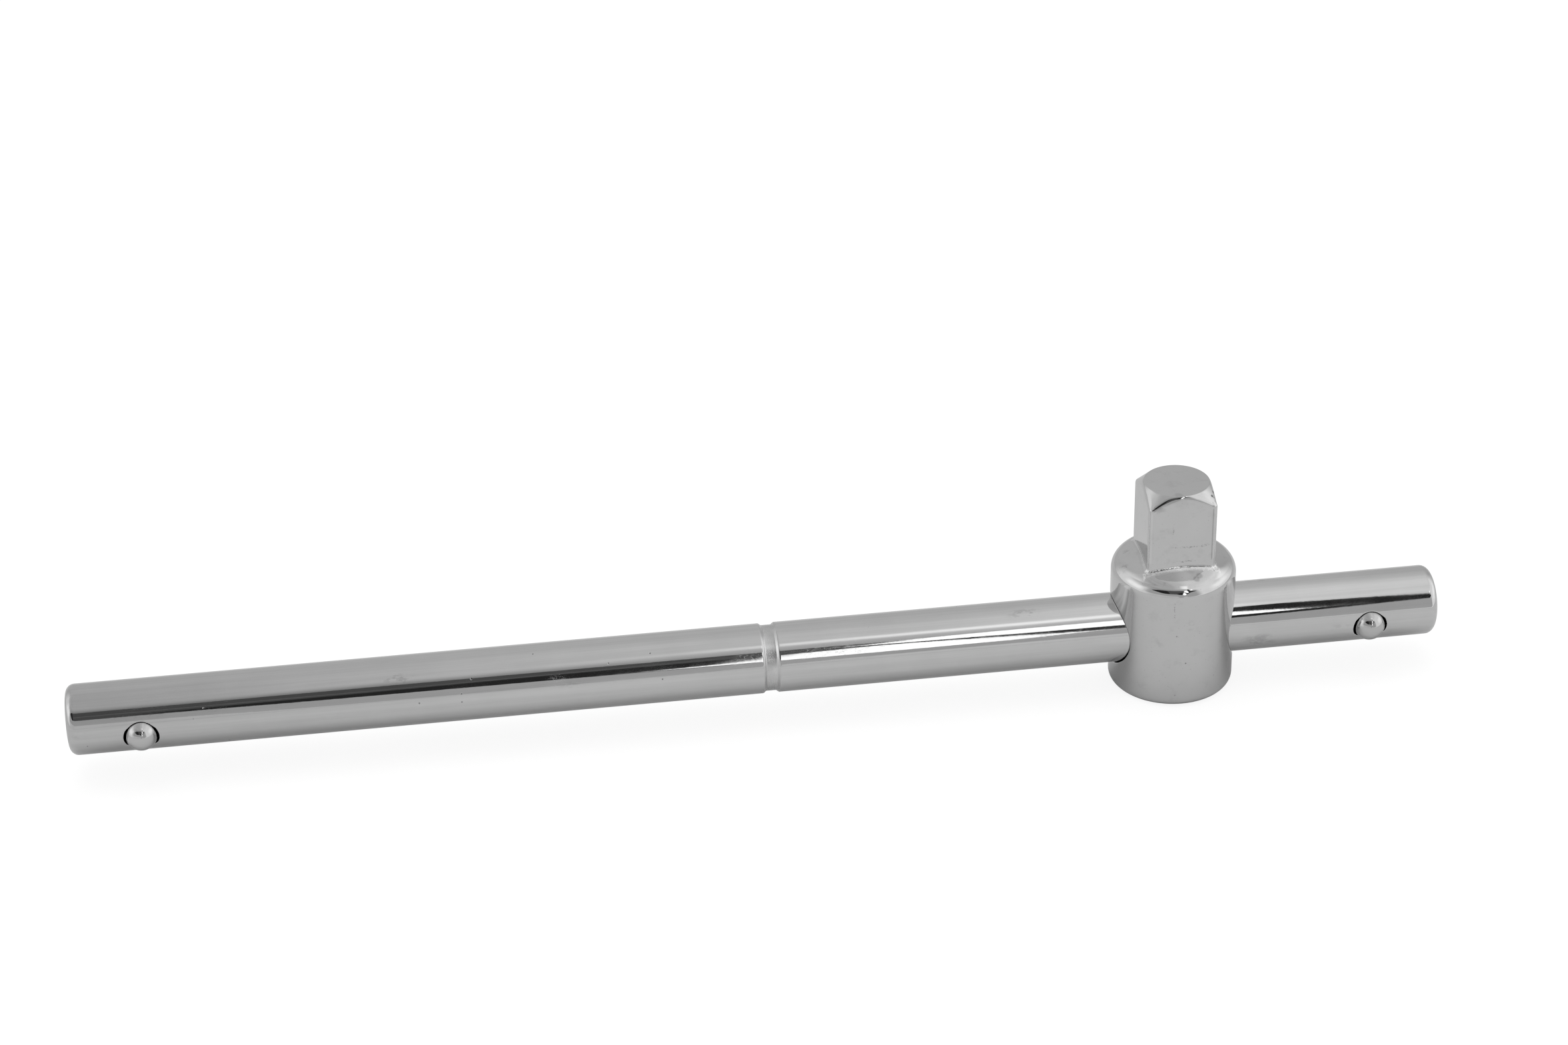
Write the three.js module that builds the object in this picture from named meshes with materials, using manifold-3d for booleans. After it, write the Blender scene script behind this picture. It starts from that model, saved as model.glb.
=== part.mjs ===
// Sliding T-handle for square-drive sockets: a round bar slides through a cross-bored head
// that carries a male square drive. Lengths are in millimetres, angles in radians, +Z is up.
// The origin is the centre of the head's flat underside, on the drive's axis. The bar runs
// along X through the head, and the front is -Y.
import * as THREE from "three";
import { mergeVertices } from "three/addons/utils/BufferGeometryUtils.js";
import Module from "manifold-3d";

// Bar
const barLength = 250;
const barDiameter = 12.8;
const barEndRound = 1.6;
const barMiddle = -76; // the bar's middle, left of the drive's axis

// Groove turned round the bar near its middle, where the detent ball drops in
const grooveWidth = 3.1;
const grooveFloorWidth = 1.6;
const grooveDepth = 0.4;
const grooveOffset = 1; // from the bar's middle, towards its right end

// Stop balls, one near each end of the bar
const stopInset = 13; // from the bar's end to the ball's centre
const stopBallDiameter = 5.8;
const stopBallProud = 2.05; // above the bar's surface
const stopHolePlay = 0.35; // round the ball, each side
const stopHoleWall = 3.2; // metal left behind the hole
const stopBallTilt = THREE.MathUtils.degToRad(9.5); // below the bar's front
const stopWire = 0.5;
const stopSpringPlay = 0.9; // between the spring and its hole, each side

// Head, whose bore guides the bar
const boreClearance = 0.2; // round the bar, each side
const headBaseWall = 4.9; // under the bore
const headSideWall = 4.8; // in front of the bore and behind it
const headTopWall = 7.8; // from the bore to the shoulder's rim
const headBaseRound = 1.7;
const rimRound = 2.8;
const shoulderSlope = THREE.MathUtils.degToRad(15); // the shoulder climbs from rim to drive

// Male square drive
const driveSide = 12.6;
const driveLength = 15.3; // from the shoulder's rim to the tip
const driveEdgeRound = 0.9;
const driveRootRound = 0.7;
const tipDiscDiameter = 11.8;
const tipReliefSlope = THREE.MathUtils.degToRad(43); // of the cone that relieves the tip's corners

// Balls of 3/16 inch in the drive and over the bar
const ballDiameter = 4.76;
const ballPlay = 0.12; // round the ball, each side
const ballSeatGap = 0.05; // between a ball and what it bears on
const wireDiameter = 0.45;
const springPlay = 0.4; // between the spring and its hole, each side
const coilPitch = 1.05; // of every spring

// Ball that holds a socket, in the drive's rear face
const socketBallInset = 7.3; // from the tip down to the ball's centre
const socketBallProud = 1.1;
const socketHoleWall = 3.4; // metal left behind the hole
const lipThickness = 0.25; // staked rim that keeps the ball in

// Detent over the bar, in a bore that is drilled from the underside
const holeWeb = 2.8; // metal left between the detent's bore and the socket ball's hole
const plugSetback = 1.5; // from the plug to the bar's bore
const plugPlay = 0.03;

// How finely round shapes are divided
const turnedSides = 64;
const holeSides = 32;
const ballSides = 20;
const ballRings = 14;
const arcSteps = 6;
const grooveSteps = 4;
const cornerSteps = 4;
const rootSteps = 3;
const coilSteps = 8;
const wireSides = 5;
const overrun = 1; // how far every cut runs past what it cuts

// Sizes that follow from the ones above
const barRadius = barDiameter / 2;
const boreRadius = barRadius + boreClearance;
const headRadius = boreRadius + headSideWall;
const barHeight = headBaseWall + boreRadius;
const shoulderHeight = barHeight + boreRadius + headTopWall;
const tipHeight = shoulderHeight + driveLength;
const driveHalf = driveSide / 2;
const stopBallRadius = stopBallDiameter / 2;
const stopHoleRadius = stopBallRadius + stopHolePlay;
const ballRadius = ballDiameter / 2;
const ballHoleRadius = ballRadius + ballPlay;
const socketBallZ = tipHeight - socketBallInset;
const detentTop = socketBallZ - ballHoleRadius - holeWeb;

const rightAngle = Math.PI / 2;
const wasm = await Module();
wasm.setup();

// Points of a circular arc in the plane of a profile.
function arc(centreX, centreY, radius, from, to, steps = arcSteps) {
  return Array.from({ length: steps + 1 }, (_, i) => {
    const angle = THREE.MathUtils.lerp(from, to, i / steps);
    return new THREE.Vector2(centreX + radius * Math.cos(angle), centreY + radius * Math.sin(angle));
  });
}

// Turns a profile of (radius, height) points, from its foot to its top, about Z.
function turned(profile) {
  return new THREE.LatheGeometry(profile, turnedSides).rotateX(rightAngle);
}

// A round hole's core along Z, between two heights.
function core(radius, from, to, sides = holeSides) {
  return new THREE.CylinderGeometry(radius, radius, to - from, sides)
    .rotateX(rightAngle)
    .translate(0, 0, (from + to) / 2);
}

// A geometry as a solid that can be joined and cut.
function solidOf(geometry) {
  const bare = geometry.clone();
  bare.deleteAttribute("normal");
  bare.deleteAttribute("uv");
  const merged = mergeVertices(bare);
  const mesh = new wasm.Mesh({
    numProp: 3,
    vertProperties: merged.attributes.position.array,
    triVerts: Uint32Array.from(merged.index.array),
  });
  return new wasm.Manifold(mesh);
}

// A solid as a geometry that can be drawn.
function geometryOf(solid) {
  const mesh = solid.getMesh();
  const geometry = new THREE.BufferGeometry();
  geometry.setAttribute("position", new THREE.BufferAttribute(mesh.vertProperties, 3));
  geometry.setIndex(new THREE.BufferAttribute(mesh.triVerts, 1));
  const flat = geometry.toNonIndexed();
  flat.computeVertexNormals();
  return flat;
}

// One named piece in its own finish.
function piece(name, geometry, finish) {
  const mesh = new THREE.Mesh(geometry, new THREE.MeshStandardMaterial(finish));
  mesh.name = name;
  return mesh;
}

const barChrome = { color: 0xa9aaac, metalness: 1, roughness: 0.1 };
const headChrome = { color: 0xa3a4a6, metalness: 1, roughness: 0.14 };
const ballSteel = { color: 0xb4b5b7, metalness: 1, roughness: 0.08 };
const springSteel = { color: 0x6f7072, metalness: 1, roughness: 0.35 };
const plugSteel = { color: 0x8f9092, metalness: 1, roughness: 0.3 };

// Turns what points along +Z to point out of the bar's front, a little below it.
const towardsStop = new THREE.Matrix4().makeRotationX(rightAngle + stopBallTilt);
// Turns it to point out of the drive's rear face.
const towardsRear = new THREE.Matrix4().makeRotationX(-rightAngle);
// Turns it to point down at the bar.
const towardsBar = new THREE.Matrix4().makeRotationX(Math.PI);

// Heights along each ball's own axis, counted outwards from the bar's or the drive's axis,
// and for the detent downwards from the head's underside.
const stopCentre = barRadius + stopBallProud - stopBallRadius;
const stopFloor = stopHoleWall - barRadius;
const socketCentre = driveHalf + socketBallProud - ballRadius;
const socketFloor = socketHoleWall - driveHalf;
const detentCentre = -(barHeight + barRadius + ballSeatGap + ballRadius);
const detentFloor = -detentTop;

// The centre line of a spring.
class Helix extends THREE.Curve {
  constructor(radius, foot, top) {
    super();
    this.radius = radius;
    this.foot = foot;
    this.rise = top - foot;
    this.turns = Math.max(1, Math.round(this.rise / coilPitch));
  }

  getPoint(t) {
    const angle = t * this.turns * 2 * Math.PI;
    const height = this.foot + t * this.rise;
    return new THREE.Vector3(this.radius * Math.cos(angle), this.radius * Math.sin(angle), height);
  }
}

// The least gap between a spring's neighbouring turns, measured on points of its centre line.
function leastGap(helix, wire) {
  const perTurn = coilSteps;
  const points = helix.getPoints(helix.turns * perTurn);
  let least = Infinity;
  points.forEach((p, i) => {
    points.slice(i + perTurn / 2).forEach((q) => {
      least = Math.min(least, p.distanceTo(q));
    });
  });
  return least - wire;
}

// A ball on its spring. The spring stands on the floor of its hole and bears on the ball.
function sprungBall(name, springName, size) {
  const { radius, centre, floor, holeRadius, wire, play } = size;
  const ball = piece(name, new THREE.SphereGeometry(radius, ballSides, ballRings), ballSteel);
  ball.position.z = centre;

  const coilRadius = holeRadius - play - wire / 2;
  const reach = radius + ballSeatGap + wire / 2;
  const top = centre - Math.sqrt(reach * reach - coilRadius * coilRadius);
  const foot = floor + ballSeatGap + wire / 2;
  const helix = new Helix(coilRadius, foot, top);
  const section = new THREE.Shape(arc(0, 0, wire / 2, 0, 2 * Math.PI, wireSides).slice(1));
  const coil = new THREE.ExtrudeGeometry(section, {
    steps: helix.turns * coilSteps,
    extrudePath: helix,
  });
  console.log(springName, "least gap between turns", leastGap(helix, wire).toFixed(2), "mm");

  const group = new THREE.Group();
  group.add(ball, piece(springName, coil, springSteel));
  return group;
}

// The bar, turned about X, with its middle at the origin.
function barGeometry() {
  const half = barLength / 2;
  const grooveSide = (towards) =>
    Array.from({ length: grooveSteps + 1 }, (_, i) => {
      const t = i / grooveSteps;
      const along = THREE.MathUtils.lerp(grooveWidth / 2, grooveFloorWidth / 2, t);
      const depth = (grooveDepth * (1 - Math.cos(Math.PI * t))) / 2;
      return new THREE.Vector2(barRadius - depth, grooveOffset + towards * along);
    });
  const cornerRadius = barRadius - barEndRound;
  const profile = [
    new THREE.Vector2(0, -half),
    ...arc(cornerRadius, barEndRound - half, barEndRound, -rightAngle, 0),
    ...grooveSide(-1),
    ...grooveSide(1).reverse(),
    ...arc(cornerRadius, half - barEndRound, barEndRound, 0, rightAngle),
    new THREE.Vector2(0, half),
  ];
  let bar = solidOf(turned(profile).rotateY(rightAngle));
  for (const side of [-1, 1]) {
    const hole = core(stopHoleRadius, stopFloor, barRadius + overrun)
      .applyMatrix4(towardsStop)
      .translate(side * (half - stopInset), 0, 0);
    bar = bar.subtract(solidOf(hole));
  }
  return geometryOf(bar);
}

// The shoulder's rim: the rounding runs up until it meets the slope.
const rimCentreRadius = headRadius - rimRound;
const rimCentreHeight = shoulderHeight - rimRound;
const rimEndAngle = rightAngle - shoulderSlope;
const rimEndRadius = rimCentreRadius + rimRound * Math.cos(rimEndAngle);
const rimEndHeight = rimCentreHeight + rimRound * Math.sin(rimEndAngle);

// The shoulder's height at a distance from the drive's axis.
function shoulderAt(distance) {
  if (distance <= rimEndRadius) return rimEndHeight + (rimEndRadius - distance) * Math.tan(shoulderSlope);
  const out = Math.min(distance - rimCentreRadius, rimRound);
  return rimCentreHeight + Math.sqrt(rimRound * rimRound - out * out);
}

// Outline of the square with rounded edges, grown outwards by a distance.
function squareOutline(growth) {
  const straight = driveHalf - driveEdgeRound;
  const round = driveEdgeRound + growth;
  return [0, 1, 2, 3].flatMap((quarter) => {
    const from = quarter * rightAngle;
    const diagonal = from + rightAngle / 2;
    const x = straight * Math.sign(Math.cos(diagonal));
    const y = straight * Math.sign(Math.sin(diagonal));
    return arc(x, y, round, from, from + rightAngle, cornerSteps);
  });
}

// Skins a stack of outlines that have equal counts of points, and closes both ends.
function loft(outlines) {
  const count = outlines[0].length;
  const positions = outlines.flat().flatMap((p) => [p.x, p.y, p.z]);
  const index = [];
  for (let level = 0; level + 1 < outlines.length; level += 1) {
    for (let i = 0; i < count; i += 1) {
      const a = level * count + i;
      const b = level * count + ((i + 1) % count);
      index.push(a, b, b + count, a, b + count, a + count);
    }
  }
  const top = (outlines.length - 1) * count;
  for (let i = 1; i + 1 < count; i += 1) {
    index.push(0, i + 1, i);
    index.push(top, top + i, top + i + 1);
  }
  const geometry = new THREE.BufferGeometry();
  geometry.setAttribute("position", new THREE.Float32BufferAttribute(positions, 3));
  geometry.setIndex(index);
  return geometry;
}

// The square drive with its hollow root and its relieved tip.
function driveSolid() {
  const level = (growth, heightAt) =>
    squareOutline(growth).map((p) => new THREE.Vector3(p.x, p.y, heightAt(p)));
  const plain = squareOutline(0);
  const outlines = [level(driveRootRound, () => rimCentreHeight)];
  for (let i = 0; i <= rootSteps; i += 1) {
    const angle = (i / rootSteps) * rightAngle;
    const growth = driveRootRound * (1 - Math.sin(angle));
    const lift = driveRootRound * (1 - Math.cos(angle));
    const raised = squareOutline(growth).map((p, k) => {
      const height = shoulderAt(plain[k].length()) + lift;
      return new THREE.Vector3(p.x, p.y, height);
    });
    outlines.push(raised);
  }
  outlines.push(level(0, () => tipHeight + overrun));

  const discRadius = tipDiscDiameter / 2;
  const coneDrop = (driveSide - discRadius) * Math.tan(tipReliefSlope);
  const envelope = turned([
    new THREE.Vector2(0, rimCentreHeight - overrun),
    new THREE.Vector2(driveSide, rimCentreHeight - overrun),
    new THREE.Vector2(driveSide, tipHeight - coneDrop),
    new THREE.Vector2(discRadius, tipHeight),
    new THREE.Vector2(0, tipHeight),
  ]);
  return solidOf(loft(outlines)).intersect(solidOf(envelope));
}

// The head: turned body and square drive in one forging, with its bore and its drilled holes.
function headGeometry() {
  const body = turned([
    new THREE.Vector2(0, 0),
    ...arc(headRadius - headBaseRound, headBaseRound, headBaseRound, -rightAngle, 0),
    ...arc(rimCentreRadius, rimCentreHeight, rimRound, 0, rimEndAngle),
    new THREE.Vector2(driveHalf, shoulderAt(driveHalf)),
    new THREE.Vector2(0, shoulderAt(driveHalf)),
  ]);
  const reach = headRadius + overrun;
  const bore = core(boreRadius, -reach, reach, turnedSides)
    .rotateY(rightAngle)
    .translate(0, 0, barHeight);
  const detentBore = core(ballHoleRadius, -overrun, detentTop);
  const lipDepth = ballRadius - socketBallProud - lipThickness;
  const lipRadius = Math.sqrt(ballRadius ** 2 - lipDepth ** 2) + ballSeatGap;
  const place = (hole) => hole.applyMatrix4(towardsRear).translate(0, 0, socketBallZ);
  const socketHole = place(core(ballHoleRadius, socketFloor, driveHalf - lipThickness));
  const socketMouth = place(core(lipRadius, 0, driveHalf + overrun));
  const cuts = [bore, detentBore, socketHole, socketMouth];
  const joined = solidOf(body).add(driveSolid());
  return geometryOf(cuts.reduce((left, cut) => left.subtract(solidOf(cut)), joined));
}

// The bar with its two stop balls, which it carries along.
function makeBar() {
  const bar = new THREE.Group();
  bar.add(piece("handle_bar", barGeometry(), barChrome));
  const ends = [
    ["left", -1],
    ["right", 1],
  ];
  for (const [side, sign] of ends) {
    const stop = sprungBall(`${side}_stop_ball`, `${side}_stop_spring`, {
      radius: stopBallRadius,
      centre: stopCentre,
      floor: stopFloor,
      holeRadius: stopHoleRadius,
      wire: stopWire,
      play: stopSpringPlay,
    });
    stop.applyMatrix4(towardsStop);
    stop.position.x = sign * (barLength / 2 - stopInset);
    bar.add(stop);
  }
  bar.position.set(barMiddle, 0, barHeight);
  return bar;
}

// The head with the socket's ball, the bar's detent and the plug that closes its bore.
function makeHead() {
  const head = new THREE.Group();
  head.add(piece("sliding_head", headGeometry(), headChrome));
  const ball = { radius: ballRadius, holeRadius: ballHoleRadius, wire: wireDiameter, play: springPlay };

  const socketSizes = { ...ball, centre: socketCentre, floor: socketFloor };
  const socketStop = sprungBall("socket_ball", "socket_ball_spring", socketSizes);
  socketStop.applyMatrix4(towardsRear);
  socketStop.position.z = socketBallZ;

  const detentSizes = { ...ball, centre: detentCentre, floor: detentFloor };
  const detent = sprungBall("detent_ball", "detent_spring", detentSizes);
  detent.applyMatrix4(towardsBar);

  const plug = core(ballHoleRadius - plugPlay, 0, headBaseWall - plugSetback);
  head.add(socketStop, detent, piece("detent_plug", plug, plugSteel));
  return head;
}

const slidingTHandle = new THREE.Group();
slidingTHandle.add(makeBar(), makeHead());

export default slidingTHandle;
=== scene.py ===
"""Looks of the sliding T-handle: a chromed bar, a forged head with its square drive, and sprung balls.

Lengths are in metres in Blender and written here in millimetres times mm. The origin is the centre
of the head's underside, the bar runs along X, and the front is -Y.
"""

import math

import bmesh
import bpy
from mathutils import Matrix, Vector, noise


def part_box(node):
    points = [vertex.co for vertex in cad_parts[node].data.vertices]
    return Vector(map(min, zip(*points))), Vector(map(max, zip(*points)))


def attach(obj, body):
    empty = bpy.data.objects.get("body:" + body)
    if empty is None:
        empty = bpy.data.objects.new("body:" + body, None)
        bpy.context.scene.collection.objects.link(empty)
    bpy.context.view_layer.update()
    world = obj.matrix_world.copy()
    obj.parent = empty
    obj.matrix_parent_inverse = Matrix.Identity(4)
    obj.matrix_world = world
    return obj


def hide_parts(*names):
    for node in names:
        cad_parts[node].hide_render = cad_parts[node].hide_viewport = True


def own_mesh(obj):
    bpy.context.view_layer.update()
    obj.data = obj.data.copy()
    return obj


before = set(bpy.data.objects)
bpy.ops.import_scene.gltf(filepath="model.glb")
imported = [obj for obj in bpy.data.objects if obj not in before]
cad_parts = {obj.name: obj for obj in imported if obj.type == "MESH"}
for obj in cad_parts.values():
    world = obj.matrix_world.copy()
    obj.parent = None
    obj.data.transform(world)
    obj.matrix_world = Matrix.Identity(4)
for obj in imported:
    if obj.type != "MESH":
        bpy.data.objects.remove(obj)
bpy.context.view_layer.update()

mm = 0.001
full_turn = 2 * math.pi
quarter = math.pi / 2


def middle_of(node):
    """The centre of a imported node's box."""
    low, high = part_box(node)
    return (low + high) / 2


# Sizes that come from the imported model
bar_low, bar_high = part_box("handle_bar")
head_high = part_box("sliding_head")[1]
plug_low, plug_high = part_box("detent_plug")
bar_radius = (bar_high.z - bar_low.z) / 2
bar_height = (bar_high.z + bar_low.z) / 2
bar_middle = (bar_high.x + bar_low.x) / 2
head_radius = head_high.x
tip_height = head_high.z
socket_ball_height = middle_of("socket_ball").z

# Bar
bar_end_round = 1.6 * mm
groove_width = 3.1 * mm
groove_floor = 1.6 * mm
groove_depth = 0.4 * mm
groove_offset = 1.0 * mm  # from the bar's middle, towards its right end
stop_hole_radius = 3.25 * mm
stop_hole_floor = 3.2 * mm  # how far beyond the bar's axis the hole ends
stop_hole_neck = 0.6 * bar_radius  # from the bar's axis to where the hole has its full width
stop_lip_wide = 3.13 * mm  # the lip's radius along the bar
stop_lip_narrow = 2.97 * mm  # and above and below, where it's staked over the ball
stop_lip_round = 0.16 * mm
stop_lip_plated = 0.7 * mm  # how far the plate reaches into the hole
stop_patch = 4.6 * mm  # half of the field of fine faces round the hole

# Head
bore_radius = 6.6 * mm
base_round = 1.7 * mm
rim_round = 2.8 * mm
rim_height = 25.9 * mm
shoulder_slope = math.radians(15)
front_drop = 0.55 * mm  # the ground shoulder isn't quite square to the axis and lies lower in front
bore_lip_round = 0.22 * mm
bore_patch = 8.1 * mm
bore_even = 7 * mm  # half of the bore's length whose rows are flat
detent_radius = 2.5 * mm
detent_top = 28.6 * mm
detent_roof = 20 * mm  # clear of the bore's roof
detent_patch = 3.3 * mm
plug_chamfer = 0.12 * mm

# Square drive
drive_half = 6.3 * mm
drive_edge_round = 0.9 * mm
drive_root_round = 0.7 * mm
bead_height = 0.07 * mm
tip_disc_radius = 5.9 * mm
tip_edge_round = 0.1 * mm
tip_edge_out = 0.2 * tip_edge_round  # how far down the cone that rounding ends
tip_corner_round = 0.12 * mm  # where the cone meets the square's edges
tip_face_round = 0.65 * mm  # where it meets the middle of a face
tip_swell = 0.2 * mm  # how much more it's rounded between those two
tip_face_reach = 1.4  # how much further the rounding goes down the face than up the cone
tip_relief_slope = math.radians(43)
socket_lip_radius = 2.195 * mm
socket_lip_width = 0.45 * mm
socket_lip_sink = 0.09 * mm
socket_hole_radius = 2.5 * mm
socket_lip_thickness = 0.25 * mm
socket_hole_floor = 2.9 * mm  # how far beyond the drive's axis the hole ends
socket_patch = 3.2 * mm

# Springs. Lengths include the wire, and a foot is measured from the axis of the bar or the drive.
stop_wire = 0.5 * mm
stop_coil_radius = 2.1 * mm
stop_spring_foot = 3.15 * mm
stop_spring_length = 6.53 * mm
small_wire = 0.45 * mm
small_coil_radius = 1.875 * mm
socket_spring_foot = 2.85 * mm
socket_spring_length = 6.2 * mm
detent_spring_length = 6.6 * mm

columns = 192  # round the bar and the head, a multiple of 24
guard = 0.15 * mm  # a narrow face beside each rounding keeps the shading of the next one flat
weld_distance = 0.0005 * mm
sharp_angle = math.radians(35)


# Mesh tools


def closed(row):
    """Neighbouring pairs of a closed row."""
    return zip(row, row[1:] + row[:1])


def skin(bm, row, places):
    """Extrudes a closed row of vertices once for each place, and puts vertex i at place(i)."""
    for place in places:
        edges = [bm.edges.get(pair) for pair in closed(row)]
        made = bmesh.ops.extrude_edge_only(bm, edges=edges)["geom"]
        fresh = {item for item in made if isinstance(item, bmesh.types.BMVert)}
        row = [next(e.other_vert(v) for e in v.link_edges if e.other_vert(v) in fresh) for v in row]
        for index, vert in enumerate(row):
            vert.co = place(index)
    return row


def capped_row(bm, radius, place):
    """A flat disc of thin triangles, whose edge is the first row of a skin."""
    made = bmesh.ops.create_circle(bm, cap_ends=True, cap_tris=True, radius=radius, segments=columns)
    rim = [v for v in made["verts"] if v.co.length > radius / 2]
    centre = [v for v in made["verts"] if v.co.length <= radius / 2]
    middle = sum((place(i) for i in range(columns)), Vector()) / columns
    for vert in centre:
        vert.co = middle
    for index, vert in enumerate(rim):
        vert.co = place(index)
    return rim


def close_row(bm, row):
    """Closes a row with a fan of triangles to its middle."""
    middle = sum((v.co for v in row), Vector()) / len(row)
    last = skin(bm, row, [lambda i: middle])
    bmesh.ops.pointmerge(bm, verts=last, merge_co=middle)


def cut_field(bm, inside):
    """Removes the faces whose middle is inside, and returns their outline as an ordered row."""
    doomed = {face for face in bm.faces if inside(face.calc_center_median())}
    outline = [e for e in bm.edges if sum(face in doomed for face in e.link_faces) == 1]
    bmesh.ops.delete(bm, geom=list(doomed), context="FACES")
    row = [outline[0].verts[0]]
    edges = set(outline)
    edge = outline[0]
    while edge:
        edges.discard(edge)
        row.append(edge.other_vert(row[-1]))
        edge = next((e for e in row[-1].link_edges if e in edges), None)
    return row[:-1]


def eased(start, corner, end, share):
    """A point on the curve that rounds the corner between start and end."""
    return start * (1 - share) ** 2 + corner * 2 * share * (1 - share) + end * share**2


def shares(count):
    """Even steps from just above 0 up to 1."""
    return [(i + 1) / count for i in range(count)]


def rows_along(count, place):
    """Places of a skin's rows, where place(i, share) goes from the last row at 0 to the end at 1."""
    return [lambda i, s=s: place(i, s) for s in shares(count)]


def paint(faces, material_index):
    """Gives faces one of their piece's further materials."""
    for face in faces:
        face.material_index = material_index


def new_object(name, data):
    thing = bpy.data.objects.new(name, data)
    bpy.context.scene.collection.objects.link(thing)
    return thing


def finished(name, bm, materials, body, node):
    """Makes the piece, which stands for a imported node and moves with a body, and returns it."""
    bmesh.ops.remove_doubles(bm, verts=bm.verts, dist=weld_distance)
    bmesh.ops.recalc_face_normals(bm, faces=bm.faces)
    mesh = bpy.data.meshes.new(name)
    bm.to_mesh(mesh)
    bm.free()
    mesh.shade_smooth()
    mesh.set_sharp_from_angle(angle=sharp_angle)
    piece = new_object(name, mesh)
    for material in materials:
        mesh.materials.append(material)
    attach(piece, body)
    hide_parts(node)
    return piece


# Materials


class Sheet:
    """A node tree written as formulas. Each call adds a node and returns its output."""

    def __init__(self, tree):
        self.nodes = tree.nodes
        self.links = tree.links
        self.nodes.clear()

    def add(self, kind, inputs=(), **settings):
        node = self.nodes.new(kind)
        for key, value in settings.items():
            setattr(node, key, value)
        for key, value in dict(inputs).items():
            self.set(node.inputs[key], value)
        return node

    def set(self, socket, value):
        if isinstance(value, bpy.types.NodeSocket):
            self.links.new(value, socket)
        else:
            socket.default_value = value

    def math(self, operation, *values):
        node = self.add("ShaderNodeMath", enumerate(values), operation=operation)
        return node.outputs[0]

    def chain(self, operation, result, *values):
        for value in values:
            result = self.math(operation, result, value)
        return result

    def plus(self, *values):
        return self.chain("ADD", *values)

    def times(self, *values):
        return self.chain("MULTIPLY", *values)

    def greatest(self, *values):
        return self.chain("MAXIMUM", *values)

    def minus(self, a, b):
        return self.math("SUBTRACT", a, b)

    def gap(self, a, b):
        """How far apart two values are."""
        return self.math("ABSOLUTE", self.minus(a, b))

    def dimmed(self, value, share):
        """A value less a share of itself."""
        return self.times(value, self.minus(1.0, share))

    def step(self, value, start, end, low=0.0, high=1.0):
        """Goes smoothly from low to high while value goes from start to end."""
        inputs = {"Value": value, "From Min": start, "From Max": end, "To Min": low, "To Max": high}
        return self.add("ShaderNodeMapRange", inputs, interpolation_type="SMOOTHSTEP").outputs[0]

    def mix(self, share, a, b):
        """a where share is 0, b where it is 1."""
        return self.add("ShaderNodeMix", {0: share, 2: a, 3: b}, data_type="FLOAT").outputs[0]

    def grey(self, value):
        """A number as a neutral colour."""
        return self.add("ShaderNodeCombineColor", {0: value, 1: value, 2: value}).outputs[0]

    def curve(self, value, points):
        """A smooth curve through chosen (value, result) points."""
        xs = [x for x, y in points]
        ys = [y for x, y in points]
        low, span = min(ys), max(ys) - min(ys)
        scaled = self.add("ShaderNodeMapRange", {"Value": value, "From Min": xs[0], "From Max": xs[-1]})
        node = self.add("ShaderNodeFloatCurve", {"Value": scaled.outputs[0]})
        line = node.mapping.curves[0]
        while len(line.points) < len(points):
            line.points.new(0.5, 0.5)
        for point, (x, y) in zip(line.points, points):
            point.location = ((x - xs[0]) / (xs[-1] - xs[0]), (y - low) / span)
        node.mapping.update()
        return self.plus(self.times(node.outputs[0], span), low)

    def noise(self, place, size, detail=2.0, roughness=0.5):
        """Soft noise between 0 and 1 whose spots are about a size wide."""
        inputs = {"Vector": place, "Scale": 1 / size, "Detail": detail, "Roughness": roughness}
        return self.add("ShaderNodeTexNoise", inputs).outputs["Fac"]

    def parts(self, vector):
        """A vector's X, Y and Z."""
        return self.add("ShaderNodeSeparateXYZ", {0: vector}).outputs[:]

    def place(self, stretch=(1, 1, 1), turn=(0, 0, 0)):
        """Object coordinates, stretched or turned."""
        coordinates = self.add("ShaderNodeTexCoord").outputs["Object"]
        inputs = {"Vector": coordinates, "Scale": stretch, "Rotation": turn}
        return self.add("ShaderNodeMapping", inputs).outputs[0]

    def bump(self, height, depth, normal=None):
        """Raises the surface by height times depth."""
        inputs = {"Height": height, "Distance": depth}
        if normal:
            inputs["Normal"] = normal
        return self.add("ShaderNodeBump", inputs).outputs[0]

    def pits(self, place, spacing, size, chosen):
        """Small round spots, 1 in their middle, on a chosen share of random places."""
        inputs = {"Vector": place, "Scale": 1 / spacing}
        node = self.add("ShaderNodeTexVoronoi", inputs)
        spot = self.step(node.outputs["Distance"], size / spacing, 0.3 * size / spacing)
        tone = self.add("ShaderNodeSeparateColor", {0: node.outputs["Color"]}).outputs[0]
        return self.times(spot, self.math("LESS_THAN", tone, chosen))


def metal_shader(sheet, shade, roughness, normal):
    inputs = {"Base Color": sheet.grey(shade), "Metallic": 1.0, "Roughness": roughness, "Normal": normal}
    shader = sheet.add("ShaderNodeBsdfPrincipled", inputs)
    sheet.add("ShaderNodeOutputMaterial", {"Surface": shader.outputs[0]})


def new_material(name):
    material = bpy.data.materials.new(name)
    material.use_nodes = True
    return material, Sheet(material.node_tree)


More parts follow.
